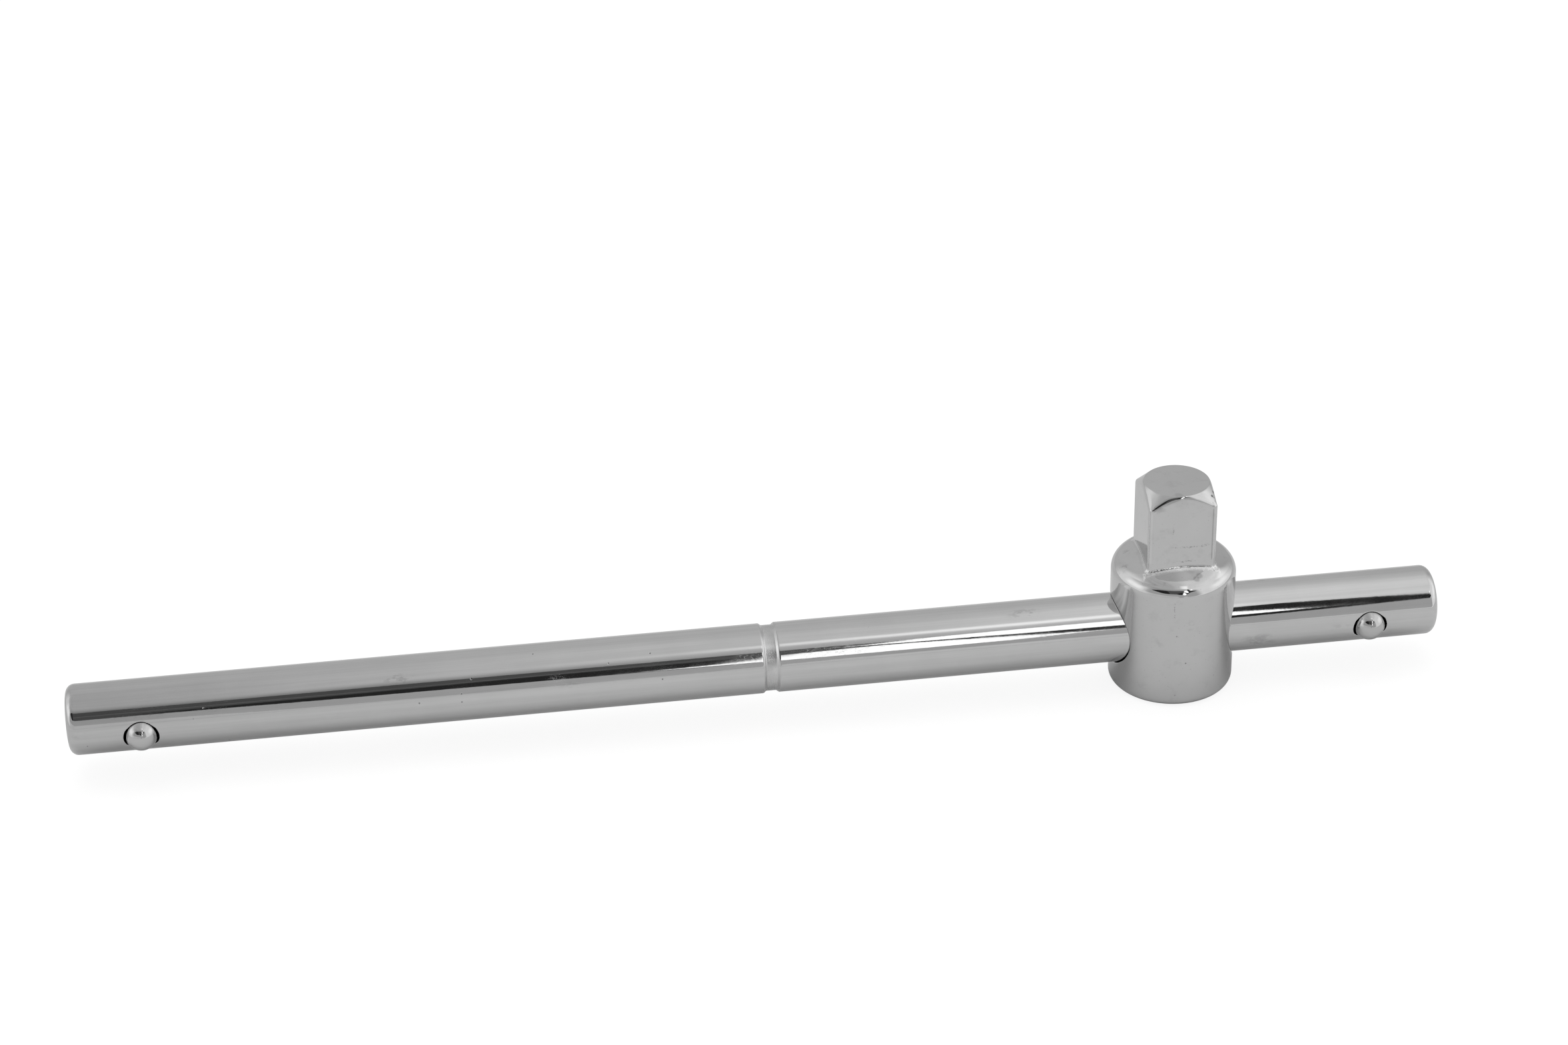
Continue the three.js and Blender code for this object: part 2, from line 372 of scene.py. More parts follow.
def plate(name, tone, grain, waves, ripples, pit_share):
    """Bright plate: slow waves of the metal under it, fine ripples, pits, scratches and stains.

    Waves and ripples are heights. Returns what a finish can still be added to.
    """
    material, sheet = new_material(name)
    drawn = sheet.place(stretch=grain)
    plain = sheet.place()
    wave = sheet.noise(drawn, 3.2 * mm, detail=1.0)
    ripple = sheet.noise(drawn, 0.7 * mm, roughness=0.6)
    pits = sheet.pits(plain, 1.9 * mm, 0.22 * mm, pit_share)
    scratch_field = sheet.noise(sheet.place((1, 9, 9), (0.2, 0.5, 0.9)), 1.6 * mm, detail=1.0)
    scratched = sheet.step(sheet.noise(plain, 11 * mm, detail=1.0), 0.54, 0.68)
    scratches = sheet.times(sheet.step(sheet.gap(scratch_field, 0.5), 0.006, 0.0), scratched)

    normal = sheet.bump(wave, waves)
    normal = sheet.bump(ripple, ripples, normal)
    normal = sheet.bump(pits, -0.02 * mm, normal)
    normal = sheet.bump(scratches, -0.001 * mm, normal)

    haze = sheet.noise(plain, 7 * mm, detail=3.0, roughness=0.6)
    roughness = sheet.plus(sheet.step(haze, 0.3, 0.8, 0.035, 0.07), sheet.times(scratches, 0.12))
    shade = sheet.step(haze, 0.25, 0.75, tone * 0.98, tone * 1.015)
    shade = sheet.dimmed(shade, sheet.times(pits, 0.6))
    stain_edge = sheet.noise(sheet.place((0.5, 1, 1)), 1.1 * mm, detail=3.0, roughness=0.7)
    stain_spots = sheet.pits(drawn, 5 * mm, 1.4 * mm, 4 * pit_share)
    stains = sheet.times(stain_spots, sheet.step(stain_edge, 0.46, 0.6))
    shade = sheet.dimmed(shade, sheet.times(stains, 0.2))
    return material, sheet, shade, roughness, normal


def ball_plate(name, tone):
    """A polished bearing ball."""
    material, sheet, *surface = plate(name, tone, (1, 1, 1), 0.0004 * mm, 0.0002 * mm, 0.01)
    metal_shader(sheet, *surface)
    return material


def bar_plate(name, tone):
    """The drawn bar: faint streaks along it, and painted shade that darkens it towards its far end."""
    material, sheet, shade, roughness, normal = plate(
        name, tone, (0.35, 1, 1), 0.003 * mm, 0.0022 * mm, 0.07
    )
    streak = sheet.noise(sheet.place(stretch=(0.02, 1, 1)), 0.9 * mm, detail=3.0, roughness=0.7)
    streaks = sheet.step(streak, 0.3, 0.75, 0.955, 1.03)
    # Painted shade: the bar darkens towards its far end, as if the light fell off there.
    painted_falloff = sheet.step(sheet.parts(sheet.place())[0], -205 * mm, -90 * mm, 0.9, 1.0)
    metal_shader(sheet, sheet.times(shade, streaks, painted_falloff), roughness, normal)
    return material


def root_crust_and_painted_light(sheet, x, y, z):
    """Where the plate is rough and brightened with painted light: round the drive's root in front, and most
    at the drive's edges.
    """
    wide, deep = sheet.math("ABSOLUTE", x), sheet.math("ABSOLUTE", y)
    from_side = sheet.minus(sheet.greatest(wide, deep), drive_half)
    return sheet.times(
        sheet.step(sheet.gap(z, rim_height + 0.7 * mm), 1.9 * mm, 1.5 * mm),
        sheet.step(from_side, 0.95 * mm, 0.6 * mm),
        sheet.step(from_side, 0.0, 0.04 * mm),
        sheet.step(y, -5.4 * mm, -6.2 * mm),
        sheet.step(wide, 3.6 * mm, 6.2 * mm, 0.4, 1.0),
    )


def painted_edge_light_and_shade(sheet, x, y, z):
    """A factor for the drive's edges: a painted highlight on each rounded edge, and a painted dark line
    beside it, both standing in for the edge's reflections.
    """
    on_drive = sheet.times(sheet.step(z, 27.6 * mm, 28.2 * mm), sheet.step(z, 38.6 * mm, 38 * mm))
    wide, deep = sheet.math("ABSOLUTE", x), sheet.math("ABSOLUTE", y)
    flat_end = drive_half - drive_edge_round
    # Painted highlight: the rounded edges are lighter, standing in for their reflections.
    painted_edge_highlight = sheet.step(sheet.math("MINIMUM", wide, deep), flat_end + 0.2 * mm, flat_end + 0.4 * mm)
    border = sheet.mix(sheet.math("GREATER_THAN", x, 0.0), deep, wide)
    # Painted shade: a thin dark line beside each edge, standing in for a dark reflection.
    line = sheet.step(sheet.gap(border, flat_end), 0.16 * mm, 0.04 * mm)
    painted_edge_shading = sheet.minus(sheet.times(painted_edge_highlight, 0.07), sheet.times(line, 0.3))
    return sheet.plus(1.0, sheet.times(painted_edge_shading, on_drive))


def front_marks(sheet, place, bent, x, y, z):
    """How dark the broken lines and specks of the forging are, in front only."""
    dashes = sheet.step(sheet.noise(place, 0.5 * mm, detail=3.0, roughness=0.8), 0.5, 0.6)

    def line(across, level, thickness, along, start, end, fade):
        """A line at a level of one coordinate, from start to end of the other, in millimetres."""
        near = sheet.step(sheet.gap(sheet.plus(across, bent), level * mm), thickness * mm, 0.0)
        begins = sheet.step(along, (start - fade) * mm, start * mm)
        ends = sheet.step(along, (end + fade) * mm, end * mm)
        return sheet.times(near, dashes, begins, ends)

    seam_height = 30.9
    flash_height = 27.9
    lines = sheet.greatest(
        line(z, seam_height, 0.42, x, 3.4, 4.4, 1.2),
        sheet.times(line(z, seam_height, 0.26, x, -1.4, 3.0, 1.2), 0.75),
        line(z, flash_height, 0.2, x, -1.0, 2.0, 1.2),
        line(x, -1.9, 0.22, z, 33.9, 36.0, 0.3),
        line(x, -2.3, 0.22, z, 19.2, 22.0, 0.3),
    )
    specks = sheet.pits(place, 0.5 * mm, 0.12 * mm, 0.14)
    on_front = sheet.math("LESS_THAN", y, -0.99 * drive_half)
    return sheet.times(sheet.plus(sheet.times(lines, 0.5), sheet.times(specks, 0.2)), on_front)


def ragged_spots(sheet, place, bent):
    """How dark the head's single marks and shades are: two knocks on the tip's edge, two spots of painted
    shade on the shoulder's front, and two stains.
    """
    spots = [  # middle and size in millimetres, and strength
        ((5.95, -3.5, 40.25), 0.4, 0.7),
        ((5.4, -4.6, 40.05), 0.36, 0.7),
        # painted shade: these two darken the right end of the drive's reflection in the shoulder
        ((2.0, -8.8, 25.4), 0.8, 0.3),
        ((2.8, -8.1, 25.6), 0.8, 0.3),
        ((-0.9, -5.3, 41.2), 1.0, 0.15),
        ((-1.7, -11.3, 2.6), 0.3, 0.3),
    ]
    ragged = sheet.times(bent, 0.6)
    dark_spots = []
    for middle, size, strength in spots:
        away = sheet.add("ShaderNodeVectorMath", {0: place, 1: Vector(middle) * mm}, operation="DISTANCE")
        off = sheet.plus(away.outputs["Value"], ragged)
        dark_spots.append(sheet.times(sheet.step(off, size * mm, 0.45 * size * mm), strength))
    return sheet.plus(*dark_spots)


def head_plate(name, tone):
    """The forged head: rough at the drive's root with painted light there, painted highlights and dark lines
    at the drive's edges, small marks, and painted shade on the shoulder.
    """
    material, sheet, shade, roughness, normal = plate(name, tone, (1, 1, 0.7), 0.005 * mm, 0.002 * mm, 0.1)
    place = sheet.place()
    x, y, z = sheet.parts(place)
    crust_and_painted_light = root_crust_and_painted_light(sheet, x, y, z)
    grains = sheet.noise(place, 0.32 * mm, roughness=0.7)
    normal = sheet.bump(sheet.times(grains, crust_and_painted_light), 0.035 * mm, normal)
    roughness = sheet.plus(roughness, sheet.times(crust_and_painted_light, 0.16))
    # Partly real grain and partly painted light: the crust's tone is lifted up to 1.3 times, standing in for
    # the light its roughness scatters.
    crust_tone_and_painted_light = sheet.mix(crust_and_painted_light, 1.0, sheet.step(grains, 0.35, 0.6, 0.92, 1.3))
    smudge = sheet.step(sheet.noise(place, 2.6 * mm, detail=3.0, roughness=0.65), 0.52, 0.75, 1.0, 0.93)
    shade = sheet.times(shade, crust_tone_and_painted_light, smudge, painted_edge_light_and_shade(sheet, x, y, z))
    bent = sheet.times(sheet.minus(sheet.noise(place, 1.4 * mm), 0.5), 0.8 * mm)
    shade = sheet.dimmed(shade, front_marks(sheet, place, bent, x, y, z))
    shade = sheet.dimmed(shade, ragged_spots(sheet, place, bent))
    metal_shader(sheet, shade, roughness, normal)
    return material


def steel(name, tone, roughness_low, roughness_high, grain, line_depth=0.004 * mm):
    """Bare or satin steel with fine lines."""
    material, sheet = new_material(name)
    lines = sheet.noise(sheet.place(stretch=grain), 0.35 * mm, detail=3.0, roughness=0.65)
    stain = sheet.noise(sheet.place(), 2.5 * mm, detail=3.0)
    shade = sheet.step(stain, 0.3, 0.75, tone * 0.88, tone * 1.06)
    roughness = sheet.step(lines, 0.3, 0.7, roughness_low, roughness_high)
    metal_shader(sheet, shade, roughness, sheet.bump(lines, line_depth))
    return material


bar_chrome = bar_plate("bar_chrome", 0.6)
head_chrome = head_plate("head_chrome", 0.58)
ball_steel = ball_plate("ball_steel", 0.53)
# Painted shade: the walls of the holes and the bore are nearly black, standing in for the shade inside them.
hole_wall_painted_dark = steel("hole_wall_painted_dark", 0.05, 0.5, 0.7, (1, 1, 1))
groove_satin = steel("groove_satin", 0.6, 0.2, 0.3, (5, 0.1, 0.1), 0.008 * mm)
spring_steel = steel("spring_steel", 0.42, 0.28, 0.45, (1, 1, 6))
plug_steel = steel("plug_steel", 0.55, 0.22, 0.4, (12, 1, 1))


# Bar

stop_direction = middle_of("left_stop_ball") - Vector((0, 0, bar_height))
stop_direction.x = 0
stop_direction.normalize()
stop_side = Vector((1, 0, 0)).cross(stop_direction)


def bar_ring(x, radius):
    """Where the columns of a row round the bar lie. Column 0 is on the side of the stop balls."""

    def place(i):
        angle = i / columns * full_turn
        around = stop_direction * math.cos(angle) + stop_side * math.sin(angle)
        return Vector((x, 0, bar_height)) + around * radius

    return place


def stop_hole(bm, x):
    """The blind hole of a stop ball, whose lip follows the bar's round."""
    middle = Vector((x, 0, bar_height))

    def inside(point):
        away = point - middle
        across = abs(away.dot(stop_side)) * stop_patch / (bar_radius * math.sin(quarter / 2))
        return away.dot(stop_direction) > 0 and max(abs(away.x), across) < stop_patch

    row = cut_field(bm, inside)
    starts = [Vector((v.co.x - x, (v.co - middle).dot(stop_side))) for v in row]
    headings = [start.normalized() for start in starts]

    def place(i, distance, depth=None):
        along, across = headings[i] * distance
        if depth is None:
            depth = math.sqrt(bar_radius**2 - across**2)
        return Vector((x + along, 0, bar_height)) + stop_side * across + stop_direction * depth

    def lip(i):
        """The lip's radius, which is drawn in above and below."""
        staked = min(1, max(0, (abs(headings[i].y) - 0.5) / 0.25))
        return stop_lip_wide + (stop_lip_narrow - stop_lip_wide) * staked

    edge = stop_lip_round

    def inwards(i, share):
        return place(i, starts[i].length + (lip(i) + edge - starts[i].length) * share)

    def rounded(i, share):
        corner = place(i, lip(i))
        return eased(place(i, lip(i) + edge), corner, corner - stop_direction * edge, share)

    rings = rows_along(12, inwards) + rows_along(4, rounded)
    rings += rows_along(2, lambda i, s: rounded(i, 1) - stop_direction * stop_lip_plated * s)
    row = skin(bm, row, rings)
    before = set(bm.faces)
    lip_foot = [v.co.copy() for v in row]

    def wall(i, share):
        return place(i, stop_hole_radius, stop_hole_neck * (1 - share) - stop_hole_floor * share)

    widened = rows_along(3, lambda i, s: lip_foot[i].lerp(wall(i, 0), s))
    close_row(bm, skin(bm, row, widened + rows_along(6, wall)))
    paint(set(bm.faces) - before, 1)


def make_bar():
    """The bar is one skin from its left end to its right end, with its two holes cut in."""
    bm = bmesh.new()
    left, right = bar_low.x, bar_high.x
    stops = [middle_of("left_stop_ball").x, middle_of("right_stop_ball").x]
    corner = bar_radius - bar_end_round
    groove_middle = bar_middle + groove_offset

    def end_round(x, towards):
        turns = [s * quarter for s in shares(12)]
        return [(x + towards * bar_end_round * (1 - math.cos(t)), corner + bar_end_round * math.sin(t))
                for t in turns]

    def groove_side(towards):
        steps = [i / 12 for i in range(13)]
        return [(groove_middle + towards * (groove_width + (groove_floor - groove_width) * t) / 2,
                 bar_radius - groove_depth * (1 - math.cos(math.pi * t)) / 2) for t in steps]

    profile = [(left, corner)] + end_round(left, 1)

    def go_straight(*stations):
        """Goes on along the bar's surface to each place, in a number of even steps."""
        for end, count in stations:
            start = profile[-1][0]
            profile.extend([(start + (end - start) * s, bar_radius) for s in shares(count)])

    groove_left = groove_middle - groove_width / 2
    groove_right = groove_middle + groove_width / 2
    go_straight(
        (left + bar_end_round + guard, 1),
        (stops[0] - stop_patch, 8),
        (stops[0] + stop_patch, 48),
        (groove_left - guard, 40),
        (groove_left, 1),
    )
    profile += groove_side(-1)[1:] + groove_side(1)[::-1]
    go_straight(
        (groove_right + guard, 1),
        (stops[1] - stop_patch, 40),
        (stops[1] + stop_patch, 48),
        (right - bar_end_round - guard, 8),
        (right - bar_end_round, 1),
    )
    profile += end_round(right, -1)[-2::-1] + [(right, corner), (right, corner - guard)]

    row = capped_row(bm, corner - guard, bar_ring(left, corner - guard))
    close_row(bm, skin(bm, row, [bar_ring(x, radius) for x, radius in profile]))
    in_groove = [f for f in bm.faces if abs(f.calc_center_median().x - groove_middle) < groove_width / 2]
    paint(in_groove, 2)
    for x in stops:
        stop_hole(bm, x)
    materials = [bar_chrome, hole_wall_painted_dark, groove_satin]
    finished("bar", bm, materials, "bar", "handle_bar")


# Head

rim_centre = head_radius - rim_round
rim_centre_height = rim_height - rim_round
rim_end_angle = quarter - shoulder_slope
rim_end = rim_centre + rim_round * math.cos(rim_end_angle)
rim_end_height = rim_centre_height + rim_round * math.sin(rim_end_angle)


def shoulder_at(distance):
    """The shoulder's height at a distance from the drive's axis."""
    if distance <= rim_end:
        return rim_end_height + (rim_end - distance) * math.tan(shoulder_slope)
    out = min(distance - rim_centre, rim_round)
    return rim_centre_height + math.sqrt(rim_round**2 - out**2)


def relief_at(distance):
    """The height of the cone that relieves the tip's corners."""
    return tip_height - (distance - tip_disc_radius) * math.tan(tip_relief_slope)


def round_point(i, radius, height):
    angle = i / columns * full_turn
    return Vector((radius * math.cos(angle), radius * math.sin(angle), height))


def square_point(i, growth=0.0, height=0.0):
    """A point of the square's outline with rounded edges, grown outwards. Column 0 is at +X."""
    side = columns // 4
    corner_columns = side // 3
    turn, column = divmod(i + side // 2, side)
    column -= side / 2
    straight = drive_half - drive_edge_round
    bend = drive_edge_round + growth
    half_flat = (side - corner_columns) / 2
    if abs(column) <= half_flat:
        x, y = straight + bend, straight * column / half_flat
    else:
        angle = (abs(column) - half_flat) / corner_columns * quarter
        x = straight + bend * math.cos(angle)
        y = math.copysign(straight + bend * math.sin(angle), column)
    return Matrix.Rotation(turn * quarter, 3, "Z") @ Vector((x, y, height))


def flat_length(point):
    return math.hypot(point.x, point.y)


def at_height(point, height):
    return Vector((point.x, point.y, height))


def relief_round(i):
    """How far the edge between cone and face is rounded, most between a face's middle and its corner."""
    side = columns // 4
    share = abs((i + side // 2) % side - side / 2) / (side / 2)
    swell = tip_swell * math.sin(math.pi * share) ** 2
    return tip_face_round + swell + (tip_corner_round - tip_face_round) * share**2


def relief_start(i):
    """How far inside the outline that rounding starts. It stays outside the tip's disc."""
    corner = flat_length(square_point(i))
    room = (corner - tip_disc_radius - tip_edge_out) * drive_half / corner
    return min(relief_round(i), 0.9 * room)


def tip_rows():
    """From the tip's disc over its edge and down the cone to the square's sides."""
    cone_top = tip_disc_radius + tip_edge_out

    def disc_edge(i, share):
        start = round_point(i, tip_disc_radius - tip_edge_round, tip_height)
        corner = round_point(i, tip_disc_radius, tip_height)
        return eased(start, corner, round_point(i, cone_top, relief_at(cone_top)), share)

    def cone(i, share):
        plan = round_point(i, cone_top, 0).lerp(square_point(i, -relief_start(i)), share)
        return at_height(plan, relief_at(flat_length(plan)))

    def cone_edge(i, share):
        start = cone(i, 1)
        corner = square_point(i)
        corner.z = relief_at(flat_length(corner))
        return eased(start, corner, corner - Vector((0, 0, tip_face_reach * relief_round(i))), share)

    rows = rows_along(4, disc_edge) + rows_along(14, cone) + rows_along(8, cone_edge)
    return rows, lambda i: cone_edge(i, 1)


def root_bead(i):
    """Small lumps of plate in the fillet, most of them at the square's edges."""
    point = square_point(i)
    corner = max(0, flat_length(point) - drive_half) / (drive_half * (math.sqrt(2) - 1))
    lump = noise.noise(point / (0.55 * mm)) + 0.6 * noise.noise(point / (0.28 * mm))
    return bead_height * (0.2 + 1.3 * corner**3) * lump


def side_rows(top):
    """Down the square's sides, and round the root onto the shoulder."""
    level_top = 37.6 * mm
    level_foot = 27.8 * mm

    def root(i, share):
        """Share 0 is on the square's side and share 1 on the shoulder."""
        angle = share * quarter
        bead = root_bead(i) * math.sin(math.pi * share) ** 2
        flat = square_point(i, drive_root_round * (1 - math.cos(angle)) + bead)
        lift = drive_root_round * (1 - math.sin(angle)) + bead
        return at_height(flat, shoulder_at(flat_length(square_point(i))) * (1 - share)
                         + shoulder_at(flat_length(flat)) * share + lift)

    rows = rows_along(4, lambda i, s: top(i).lerp(square_point(i, 0, level_top), s))
    rows += rows_along(36, lambda i, s: square_point(i, 0, level_top + (level_foot - level_top) * s))
    rows += rows_along(4, lambda i, s: square_point(i, 0, level_foot).lerp(root(i, 0), s))
    return rows + rows_along(8, root), lambda i: root(i, 1)


def drop_at(i, share=1.0):
    """How far column i of the rim lies lower than at the rear, or a share of that."""
    towards_front = (1 - math.sin(i / columns * full_turn)) / 2
    return front_drop * towards_front * share


def body_rows(root):
    """Over the shoulder and the rim, down the round side and under the base."""
    rim_start = rim_end + 0.35 * rim_round  # a little past where the rim's rounding begins

    def shoulder(i, share):
        plan = root(i).lerp(round_point(i, rim_start, 0), share)
        return at_height(plan, shoulder_at(flat_length(plan)) - drop_at(i, share))

    def rim(i, share):
        angle = math.acos((rim_start - rim_centre) / rim_round) * (1 - share)
        height = rim_centre_height + rim_round * math.sin(angle)
        return round_point(i, rim_centre + rim_round * math.cos(angle), height - drop_at(i))

    def down(start, end, count):
        return rows_along(count, lambda i, s: round_point(i, head_radius, start + (end - start) * s))

    def base_edge(i, share):
        angle = share * quarter
        radius = head_radius - base_round * (1 - math.cos(angle))
        return round_point(i, radius, base_round * (1 - math.sin(angle)))

    def base(i, share):
        start, end = head_radius - base_round, detent_radius + plug_chamfer
        return round_point(i, start + (end - start) * share, 0)

    patch_top, patch_foot = bar_height + bore_patch, bar_height - bore_patch
    rows = rows_along(20, shoulder) + rows_along(18, rim)
    rows += down(rim_centre_height - front_drop, patch_top, 8)
    rows += down(patch_top, patch_foot, 48)
    rows += down(patch_foot, base_round, 4)
    rows += rows_along(12, base_edge) + rows_along(10, base)
    return rows + [lambda i: round_point(i, detent_radius, plug_chamfer)]


def bore_mouth(bm, side):
    """Opens one end of the bore and rounds its lip. Returns the row where the wall begins."""

    def inside(point):
        near = max(abs(point.y), abs(point.z - bar_height))
        return point.x * side > 0 and near < bore_patch and math.hypot(point.x, point.y) > bore_patch

    row = cut_field(bm, inside)
    starts = [Vector((v.co.y, v.co.z - bar_height)) for v in row]
    headings = [start.normalized() for start in starts]

    def place(i, distance):
        y, z = headings[i] * distance
        return Vector((side * math.sqrt(head_radius**2 - y**2), y, bar_height + z))

    edge = bore_lip_round

    def rounded(i, share):
        corner = place(i, bore_radius)
        return eased(place(i, bore_radius + edge), corner, corner - Vector((side * edge, 0, 0)), share)

    def inwards(i, share):
        return place(i, starts[i].length + (bore_radius + edge - starts[i].length) * share)

    return skin(bm, row, rows_along(8, inwards) + rows_along(5, rounded)), headings


def make_bore(bm):
    """The cross bore from mouth to mouth."""
    right_row, headings = bore_mouth(bm, 1)
    bore_mouth(bm, -1)
    before = set(bm.faces)
    mouth = [v.co.copy() for v in right_row]

    def wall(i, x):
        y, z = headings[i] * bore_radius
        return Vector((x, y, bar_height + z))

    def left_mouth(i):
        return Vector((-mouth[i].x, mouth[i].y, mouth[i].z))

    rows = rows_along(6, lambda i, s: mouth[i].lerp(wall(i, bore_even), s))
    rows += rows_along(70, lambda i, s: wall(i, bore_even - 2 * bore_even * s))
    rows += rows_along(6, lambda i, s: wall(i, -bore_even).lerp(left_mouth(i), s))
    skin(bm, right_row, rows)
    paint(set(bm.faces) - before, 1)


def detent_hole(bm, base_row):
    """The hole from the underside through the bore's floor, and on up into the roof."""
    before = set(bm.faces)
    for upward in (False, True):

        def inside(point):
            near = max(abs(point.x), abs(point.y))
            apart = math.hypot(point.y, point.z - bar_height)
            return (point.z > bar_height) == upward and near < detent_patch and apart < bore_radius

        row = cut_field(bm, inside)
        starts = [Vector((v.co.x, v.co.y)) for v in row]
        sign = 1 if upward else -1

        def place(i, share, height=None):
            distance = starts[i].length + (detent_radius - starts[i].length) * share
            x, y = starts[i].normalized() * distance
            if height is None:
                height = bar_height + sign * math.sqrt(bore_radius**2 - y**2)
            return Vector((x, y, height))

        row = skin(bm, row, rows_along(5, place))
        if upward:
            close_row(bm, skin(bm, row, [lambda i, z=z: place(i, 1, z) for z in (detent_roof, detent_top)]))
        else:
            row = skin(bm, row, [lambda i: place(i, 1, plug_high.z)])
            edges = [bm.edges.get(pair) for pair in list(closed(row)) + list(closed(base_row))]
            bmesh.ops.bridge_loops(bm, edges=edges)
    paint(set(bm.faces) - before, 1)


def socket_hole(bm):
    """The ball's hole in the drive's rear face, with its thin staked lip."""

    def inside(point):
        near = max(abs(point.x), abs(point.z - socket_ball_height))
        return point.y > drive_half * 0.999 and near < socket_patch

    row = cut_field(bm, inside)
    starts = [Vector((v.co.x, v.co.z - socket_ball_height)) for v in row]

    def place(i, distance, y=drive_half):
        x, z = starts[i].normalized() * distance
        return Vector((x, y, socket_ball_height + z))

    ring = socket_lip_radius + socket_lip_width

    def lip(i, share):
        """A shallow groove pressed round the hole, which draws its edge in over the ball."""
        distance = ring + (socket_lip_radius - ring) * share
        return place(i, distance, drive_half - socket_lip_sink * math.sin(math.pi * share) ** 2)

    def inwards(i, share):
        return place(i, starts[i].length + (ring - starts[i].length) * share)

    under = drive_half - socket_lip_thickness

    def wall(i, share):
        return place(i, socket_hole_radius, under * (1 - share) - socket_hole_floor * share)

    row = skin(bm, row, rows_along(8, inwards) + rows_along(10, lip))
    before = set(bm.faces)
    row = skin(bm, row, [lambda i: place(i, socket_lip_radius, under), lambda i: wall(i, 0)])
    close_row(bm, skin(bm, row, rows_along(6, wall)))
    paint(set(bm.faces) - before, 1)


def make_head():
    """The head is one skin from the tip's disc down to the hole in the underside."""
    bm = bmesh.new()
    disc = tip_disc_radius - tip_edge_round
    row = capped_row(bm, disc - guard, lambda i: round_point(i, disc - guard, tip_height))
    row = skin(bm, row, [lambda i: round_point(i, disc, tip_height)])
    tip, tip_end = tip_rows()
    sides, root_end = side_rows(tip_end)
    base_row = skin(bm, row, tip + sides + body_rows(root_end))
    make_bore(bm)
    bmesh.ops.remove_doubles(bm, verts=bm.verts, dist=weld_distance)
    detent_hole(bm, [v for v in base_row if v.is_valid])
    socket_hole(bm)
    finished("head", bm, [head_chrome, hole_wall_painted_dark], "head", "sliding_head")


# Balls, springs and plug


def make_ball(node, body):
    low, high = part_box(node)
    bm = bmesh.new()
    bmesh.ops.create_uvsphere(bm, u_segments=96, v_segments=64, radius=(high.x - low.x) / 2)
    bmesh.ops.translate(bm, verts=bm.verts, vec=(low + high) / 2)
    finished(node + "_polished", bm, [ball_steel], body, node)


def make_spring(node, body, foot, towards, length, coil_radius, wire):
    """A coil with closed end turns, standing on foot."""
    bm = bmesh.new()
    bmesh.ops.create_circle(bm, cap_ends=True, radius=wire / 2, segments=16)
    start = Matrix.Translation((coil_radius, 0, wire / 2)) @ Matrix.Rotation(quarter, 4, "X")
    bmesh.ops.transform(bm, matrix=start, verts=bm.verts)
    end_face = bm.faces[:]
    closed_rise = 1.05 * wire  # each end turn all but touches the next
    open_turns = 3
    open_rise = (length - wire - 2 * closed_rise) / open_turns
    steps = 28
    for turns, rise in ((1, closed_rise), (open_turns, open_rise), (1, closed_rise)):
        made = bmesh.ops.spin(
            bm,
            geom=end_face,
            axis=(0, 0, 1),
            dvec=(0, 0, rise / steps),
            angle=turns * full_turn,
            steps=turns * steps,
        )
        end_face = [item for item in made["geom_last"] if isinstance(item, bmesh.types.BMFace)]
    lay = Vector((0, 0, 1)).rotation_difference(towards).to_matrix().to_4x4()
    bmesh.ops.transform(bm, matrix=Matrix.Translation(foot) @ lay, verts=bm.verts)
    spring = finished(node + "_coil", bm, [spring_steel], body, node)
    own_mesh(spring)


def make_plug():
    """The pin pressed into the underside, ground flush, with a thin chamfer."""
    bm = bmesh.new()
    radius = (plug_high.x - plug_low.x) / 2
    edge = plug_chamfer
    row = capped_row(bm, radius - edge, lambda i: round_point(i, radius - edge, 0))
    places = [(radius, edge), (radius, plug_high.z - edge), (radius - edge, plug_high.z)]
    close_row(bm, skin(bm, row, [lambda i, r=r, z=z: round_point(i, r, z) for r, z in places]))
    finished("plug", bm, [plug_steel], "head", "detent_plug")


make_bar()
make_head()
make_plug()
make_ball("left_stop_ball", "left_ball")
make_ball("right_stop_ball", "right_ball")
make_ball("socket_ball", "drive_ball")
make_ball("detent_ball", "detent")

for side in ("left", "right"):
    stop_foot = Vector((middle_of(side + "_stop_ball").x, 0, bar_height)) - stop_direction * stop_spring_foot
    make_spring(side + "_stop_spring", "bar", stop_foot, stop_direction,
                stop_spring_length, stop_coil_radius, stop_wire)
socket_foot = Vector((0, -socket_spring_foot, socket_ball_height))
make_spring("socket_ball_spring", "head", socket_foot, Vector((0, 1, 0)),
            socket_spring_length, small_coil_radius, small_wire)
make_spring("detent_spring", "head", Vector((0, 0, detent_top)), Vector((0, 0, -1)),
            detent_spring_length, small_coil_radius, small_wire)


# Studio

# Where the photograph was taken from, and the way the camera points
camera_place = Vector((-139.33, -545.10, 351.82)) * mm
camera_heading = math.radians(7.092)  # from +Y towards +X
camera_dip = math.radians(29.625)
camera_roll = math.radians(-1.351)
camera_lens = 81.34  # its focal length and its sensor's width in millimetres
camera_sensor = 36
floor_half = 4.0
floor_tone = 0.8  # for the light that it throws back
floor_tone_in_metal = 0.68  # as polished metal shows it in front of the part
floor_painted_shade_behind = 0.6  # and behind the part, darker there as a painted shade
floor_glow = 0.86  # what the camera sees of it besides its shadows
floor_shadow_share = 0.17
backdrop_tone = 1.0
tent_on_matte = 0.82  # the even light that the tent throws on what isn't polished
lamp_place = Vector((-0.15, 0.2, 1.3))
lamp_width = 1.2
lamp_depth = 0.9
lamp_power = 6.0


